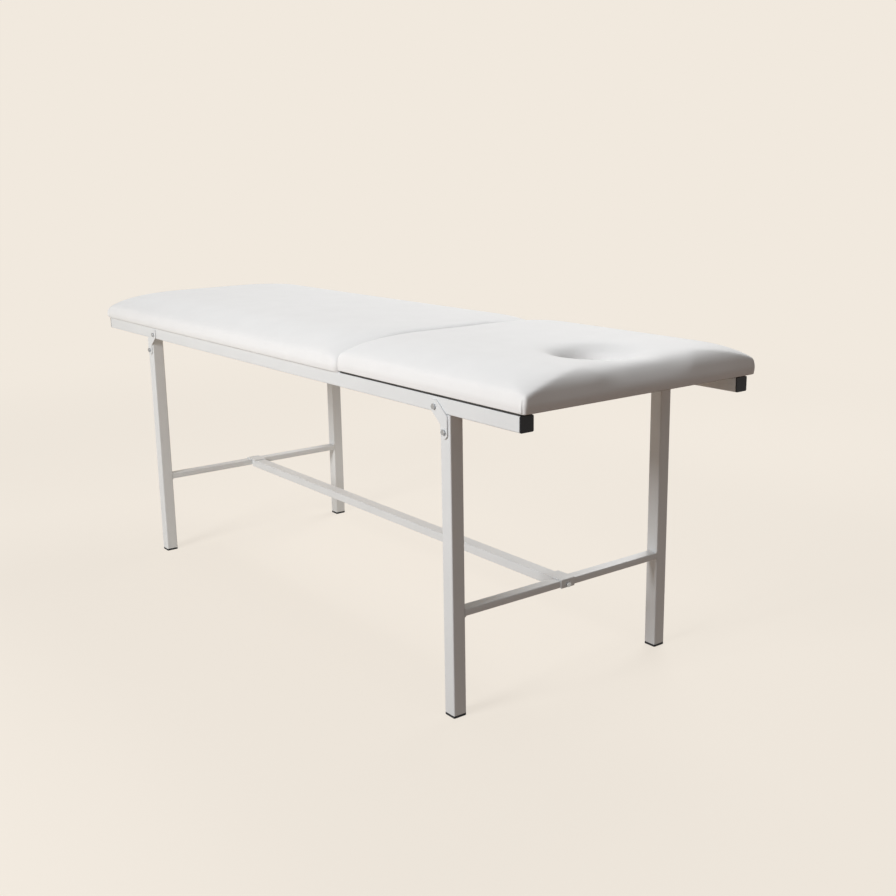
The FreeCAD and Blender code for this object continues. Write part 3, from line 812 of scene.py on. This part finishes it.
def fine_loop(x0, x1, y0, y1, radius):
    """Evenly spaced points round a rectangle with round corners."""
    sparse = [Vector(p) for p in loop_points(x0, x1, y0, y1, radius, 0)]
    points = []
    for start, end in zip(sparse, sparse[1:] + sparse[:1]):
        pieces = max(1, round((end - start).length / hem_step))
        points += [start.lerp(end, k / pieces) for k in range(pieces)]
    return points


def hem_band(name, outer, inner, bottom, body):
    """A thin flat band between two loops, and the line that its staples follow."""
    top = bottom + hem_thickness
    levels = ((outer, bottom), (inner, bottom + hem_rise), (inner, top), (outer, top))
    loops = [[(point[0], point[1], z) for point in loop] for loop, z in levels]
    vinyl_piece(name, closed_mesh(name, loops, ring=True), body)
    level = Vector((0, 0, bottom))
    hem_paths[name] = [a.lerp(b, staple_share) + level for a, b in zip(outer, inner)]


def inner_edge(loop, x0, x1, y0, y1):
    """The hand-cut edge: each point of the loop, moved in by about the width of the hem."""
    middle = Vector(((x0 + x1) / 2, (y0 + y1) / 2, 0))
    half_x, half_y = (x1 - x0) / 2, (y1 - y0) / 2
    edge = []
    for point in loop:
        width = hem_width + rng.uniform(-hem_wobble_mm, hem_wobble_mm) * MM
        offset = point - middle
        x = max(-(half_x - width), min(half_x - width, offset.x))
        y = max(-(half_y - width), min(half_y - width, offset.y))
        edge.append(middle + Vector((x, y, 0)))
    return edge


# %% Hems of both cushions
hem_draw = base_draw + 2.5 * MM
main_hem_end, head_hem_end = 326 * MM, 332 * MM
hem_sizes = {
    "main_hem": (free_foot + hem_draw, main_hem_end, main_bottom - hem_drop, "frame"),
    "head_hem": (head_hem_end, free_head - hem_draw, head_bottom - hem_drop, "head_section"),
}
half = pad_width / 2 - hem_draw
for name, (x0, x1, z, body) in hem_sizes.items():
    outer = fine_loop(x0, x1, -half, half, base_corner)
    hem_band(name, outer, inner_edge(outer, x0, x1, -half, half), z, body)

# %% Hem of the face opening
rim_points = 48
rim_gap = 0.6 * MM
rim_spread, rim_wobble = 1.38, 0.02
rim_middle = Vector((hole_x, 0, 0))
rim = circle_points(hole_x, throat_radius + rim_gap, rim_points)
rim_edge = [rim_middle + (point - rim_middle) * (rim_spread + rng.uniform(-rim_wobble, rim_wobble))
            for point in rim]
hem_band("opening_hem", rim, rim_edge, head_bottom - hem_drop, "head_section")
print("hems:", len(hem_paths))

# %% [markdown]
# ## Staples, welds and screws with Geometry Nodes
# These parts repeat by the dozen along a path or at set points, which is what Geometry Nodes
# are for. Each tree takes a line or a set of points, and its sizes are named inputs. The
# result is turned into a plain mesh, because an export drops instances.

# %% Geometry Nodes helpers
def new_tree(name, sizes):
    """A geometry tree with named inputs, returned with its input and output nodes."""
    tree = bpy.data.node_groups.new(name, "GeometryNodeTree")
    tree.interface.new_socket("Geometry", in_out="INPUT", socket_type="NodeSocketGeometry")
    tree.interface.new_socket("Geometry", in_out="OUTPUT", socket_type="NodeSocketGeometry")
    for label, kind in sizes.items():
        tree.interface.new_socket(label, in_out="INPUT", socket_type=kind)
    return tree, add_node(tree, "NodeGroupInput"), add_node(tree, "NodeGroupOutput")


def guide(points, closed):
    """A line of edges through points, for a tree to follow."""
    data = bpy.data.meshes.new("guide")
    count = len(points)
    last = count if closed else count - 1
    data.from_pydata([tuple(p) for p in points], [(k, (k + 1) % count) for k in range(last)], [])
    return data


def joined_guides(guides):
    """Several guide lines as one mesh."""
    shape = bmesh.new()
    for data in guides:
        shape.from_mesh(data)
    joined = bpy.data.meshes.new("guides")
    shape.to_mesh(joined)
    shape.free()
    return joined


def grown(tree, name, data, sizes, body):
    """Run a tree on a guide, keep the result as a plain mesh, and put it on a body."""
    source = place_object("source", data)
    maker = source.modifiers.new("maker", "NODES")
    maker.node_group = tree
    for item in tree.interface.items_tree:
        if item.in_out == "INPUT" and item.name in sizes:
            maker[item.identifier] = sizes[item.name]
    graph = bpy.context.evaluated_depsgraph_get()
    result = bpy.data.meshes.new_from_object(source.evaluated_get(graph))
    bpy.data.objects.remove(source)
    made = place_object(name, result)
    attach(made, body)
    print(name, "faces:", len(result.polygons))


# %% One staple
wire_half_width, wire_half_height = 0.7, 0.45
wire_sides = 6


def wire_staple():
    """A flat-crown staple of round wire, in millimetres, whose legs go up into the board."""
    line = [(-5.2, 0, 2.4), (-5.2, 0, 0.5), (-4.9, 0, 0.1), (4.9, 0, 0.1), (5.2, 0, 0.5), (5.2, 0, 2.4)]
    across = Vector((0, 1, 0))
    turns = [math.radians(360 / wire_sides * n) for n in range(wire_sides)]
    loops = []
    for k, point in enumerate(line):
        before = Vector(line[max(k - 1, 0)])
        after = Vector(line[min(k + 1, len(line) - 1)])
        other = (after - before).normalized().cross(across)
        ring = [Vector(point) + (across * wire_half_width * math.cos(t)
                                 + other * wire_half_height * math.sin(t)) for t in turns]
        loops.append([p * MM for p in ring])
    return place_object("staple", closed_mesh("staple", loops))


# %% Staple tree
staple = wire_staple()
staple_spacing = 35 * MM
staple_wander = math.radians(9)
tree, given, result = new_tree("staple_row", {"Spacing": "NodeSocketFloat",
                                              "Staple": "NodeSocketObject",
                                              "Wander": "NodeSocketFloat"})
line = add_node(tree, "GeometryNodeMeshToCurve", {"Mesh": given.outputs["Geometry"]})
spaced = add_node(tree, "GeometryNodeCurveToPoints", {"Curve": line.outputs[0],
                                                      "Length": given.outputs["Spacing"]},
                  mode="LENGTH")
template = add_node(tree, "GeometryNodeObjectInfo", {"Object": given.outputs["Staple"]})
turn_least = add_node(tree, "ShaderNodeMath", {0: given.outputs["Wander"], 1: -1.0},
                      operation="MULTIPLY")
least = add_node(tree, "ShaderNodeCombineXYZ", {"Z": turn_least.outputs[0]})
most = add_node(tree, "ShaderNodeCombineXYZ", {"Z": given.outputs["Wander"]})
wander = add_node(tree, "FunctionNodeRandomValue", {0: least.outputs[0], 1: most.outputs[0],
                                                    "Seed": 4}, data_type="FLOAT_VECTOR")
tangent_turn = add_node(tree, "FunctionNodeAlignRotationToVector",
                        {"Vector": spaced.outputs["Tangent"]}, axis="X")
placed = add_node(tree, "GeometryNodeInstanceOnPoints", {"Points": spaced.outputs["Points"],
                                                         "Instance": template.outputs["Geometry"],
                                                         "Rotation": tangent_turn.outputs[0]})
turned = add_node(tree, "GeometryNodeRotateInstances", {"Instances": placed.outputs[0],
                                                        "Rotation": wander.outputs[0]})
solid = add_node(tree, "GeometryNodeRealizeInstances", {"Geometry": turned.outputs[0]})
coated = add_node(tree, "GeometryNodeSetMaterial", {"Geometry": solid.outputs[0], "Material": zinc})
tree.links.new(coated.outputs[0], result.inputs["Geometry"])

staple_sizes = {"Spacing": staple_spacing, "Staple": staple, "Wander": staple_wander}
grown(tree, "main_staples", guide(hem_paths["main_hem"], True), staple_sizes, "frame")
head_lines = joined_guides([guide(hem_paths[name], True) for name in ("head_hem", "opening_hem")])
grown(tree, "head_staples", head_lines, staple_sizes, "head_section")
bpy.data.objects.remove(staple)

# %% [markdown]
# The cross rails and the low crossbars are welded between the legs and side rails. A weld
# bead is a row of overlapping drops, painted over. The tree sweeps a small circle along the
# joint and lets its radius rise and fall every few millimetres.

# %% Weld bead tree
bead_radius = 1.7 * MM
bead_step = 1.3 * MM
steps_per_drop = 3
drop_swing = 0.16
tree, given, result = new_tree("weld_bead", {"Radius": "NodeSocketFloat", "Step": "NodeSocketFloat"})
line = add_node(tree, "GeometryNodeMeshToCurve", {"Mesh": given.outputs["Geometry"]})
spaced = add_node(tree, "GeometryNodeResampleCurve", {"Curve": line.outputs[0],
                                                      "Length": given.outputs["Step"]},
                  mode="LENGTH")
index = add_node(tree, "GeometryNodeInputIndex")
phase = add_node(tree, "ShaderNodeMath", {0: index.outputs[0], 1: math.radians(360 / steps_per_drop)},
                 operation="MULTIPLY")
rise = add_node(tree, "ShaderNodeMath", {0: phase.outputs[0]}, operation="SINE")
drop = add_node(tree, "ShaderNodeMath", {0: rise.outputs[0], 1: drop_swing, 2: 1.0},
                operation="MULTIPLY_ADD")
scaled = add_node(tree, "ShaderNodeMath", {0: drop.outputs[0], 1: given.outputs["Radius"]},
                  operation="MULTIPLY")
swollen = add_node(tree, "GeometryNodeSetCurveRadius", {"Curve": spaced.outputs[0],
                                                        "Radius": scaled.outputs[0]})
circle = add_node(tree, "GeometryNodeCurvePrimitiveCircle", {"Resolution": 8, "Radius": 1.0})
swept = add_node(tree, "GeometryNodeCurveToMesh", {"Curve": swollen.outputs[0],
                                                   "Profile Curve": circle.outputs[0],
                                                   "Scale": scaled.outputs[0], "Fill Caps": True})
smooth = add_node(tree, "GeometryNodeSetShadeSmooth", {"Geometry": swept.outputs[0]})
coated = add_node(tree, "GeometryNodeSetMaterial", {"Geometry": smooth.outputs[0], "Material": white_coat})
tree.links.new(coated.outputs[0], result.inputs["Geometry"])

# %% Weld beads
weld_guides = []


def bead_round(x0, x1, y, z0, z1, sides):
    """A bead round the end of a tube that runs along Y, on the named sides."""
    corners = {"under": [(x0, y, z0), (x1, y, z0)], "foot": [(x0, y, z1), (x0, y, z0)],
               "head": [(x1, y, z0), (x1, y, z1)], "over": [(x0, y, z1), (x1, y, z1)]}
    for side in sides:
        weld_guides.append(guide(corners[side], False))


rail_round, rail_gap = 2.5 * MM, 1 * MM
for name in ("foot_end_cross_rail", "foot_cross_rail", "middle_cross_rail", "head_cross_rail"):
    low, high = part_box(name)
    for y in (low.y, high.y):
        bead_round(low.x, high.x, y, low.z + rail_gap, high.z - rail_round, ("foot", "head"))
for name in ("foot_crossbar", "head_crossbar"):
    low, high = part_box(name)
    for y in (low.y, high.y):
        bead_round(low.x, high.x, y, low.z, high.z, ("under", "over", "foot"))
grown(tree, "weld_beads", joined_guides(weld_guides), {"Radius": bead_radius, "Step": bead_step},
      "frame")

# %% [markdown]
# The boards are screwed down from below, through the cross rails and through the flat bars.
# Only the pan heads of those wood screws show. One head is turned from a short profile with
# a cross pressed into it, and the tree repeats it with a random turn, as no two screws stop
# at the same angle.

# %% One screw head
recess_depth, recess_half_width, recess_reach = 1.3, 0.5, 2.3
head_points = 32


def pan_head():
    """A pan head that looks down, in millimetres, with a cross recess."""
    radii = [0.4, 0.9, 1.5, 2.1, 2.8, 3.5, 3.9, 4.0, 4.0]
    heights = [2.5, 2.5, 2.45, 2.4, 2.25, 1.9, 1.3, 0.7, -0.3]
    loops = []
    for radius, height in zip(radii, heights):
        loop = []
        for k in range(head_points):
            turn = 2 * math.pi * k / head_points
            x, y = radius * math.cos(turn), radius * math.sin(turn)
            in_cross = min(abs(x), abs(y)) < recess_half_width and radius < recess_reach
            sunk = recess_depth if in_cross else 0
            loop.append(Vector((x, y, sunk - height)) * MM)
        loops.append(loop)
    return place_object("pan_head", closed_mesh("pan_head", loops))


# %% Screw tree
screw = pan_head()
tree, given, result = new_tree("screw_heads", {"Head": "NodeSocketObject"})
points = add_node(tree, "GeometryNodeMeshToPoints", {"Mesh": given.outputs["Geometry"]})
template = add_node(tree, "GeometryNodeObjectInfo", {"Object": given.outputs["Head"]})
spin = add_node(tree, "FunctionNodeRandomValue", {0: (0, 0, 0), 1: (0, 0, math.radians(90)), "Seed": 2},
                data_type="FLOAT_VECTOR")
placed = add_node(tree, "GeometryNodeInstanceOnPoints", {"Points": points.outputs[0],
                                                         "Instance": template.outputs["Geometry"],
                                                         "Rotation": spin.outputs[0]})
solid = add_node(tree, "GeometryNodeRealizeInstances", {"Geometry": placed.outputs[0]})
coated = add_node(tree, "GeometryNodeSetMaterial", {"Geometry": solid.outputs[0], "Material": zinc})
tree.links.new(coated.outputs[0], result.inputs["Geometry"])


def row_under(name, ys):
    """Points for screw heads under the middle line of a rail or bar, at places in millimetres."""
    low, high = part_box(name)
    return [((low.x + high.x) / 2, y * MM, low.z) for y in ys]


under_rail = (-190, 0, 190)
screw_rows = {
    "board_screws": ("frame", {"foot_end_cross_rail": under_rail, "foot_cross_rail": under_rail,
                               "middle_cross_rail": under_rail}),
    "head_board_screws": ("head_section", {"head_hinge_bar": (-120, 0, 120),
                                           "head_prop_bar": (-130, 130),
                                           "head_end_bar": (-180, 0, 180)}),
}
for name, (body, rows) in screw_rows.items():
    data = bpy.data.meshes.new("screw_points")
    data.from_pydata([point for node, ys in rows.items() for point in row_under(node, ys)], [], [])
    grown(tree, name, data, {"Head": screw}, body)
bpy.data.objects.remove(screw)

# %% [markdown]
# ## The cushions in place of the CAD foam
# The main cushion sits on the frame and the head cushion on the head section. When the
# head section lifts, the hinge line is below the foam, so at the top of the fold the two
# cushions are pushed into each other by several centimetres. Real foam gives way on both
# sides alike. Here the CAD covers and foam that the two cushions stand for are hidden, and
# each cushion's place is baked into its mesh.

# %% Hide the CAD foam
bend_lean = 0.32


for cushion, lean, replaced in ((main_cushion, bend_lean, ("main_cover", "main_foam", "main_fold_foam")),
                                (head_cushion, -bend_lean, ("head_cover", "head_foam", "head_fold_foam"))):
    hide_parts(*replaced)
    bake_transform(cushion)

# %% [markdown]
# ## Size of the finished couch
# Foam and vinyl may stand a little proud of the solids, but no more. The size of the box
# round all that renders, the floor left out, is printed.

# %% Size of the finished couch
low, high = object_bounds()
print("finished size", [round(v, 3) for v in high - low])
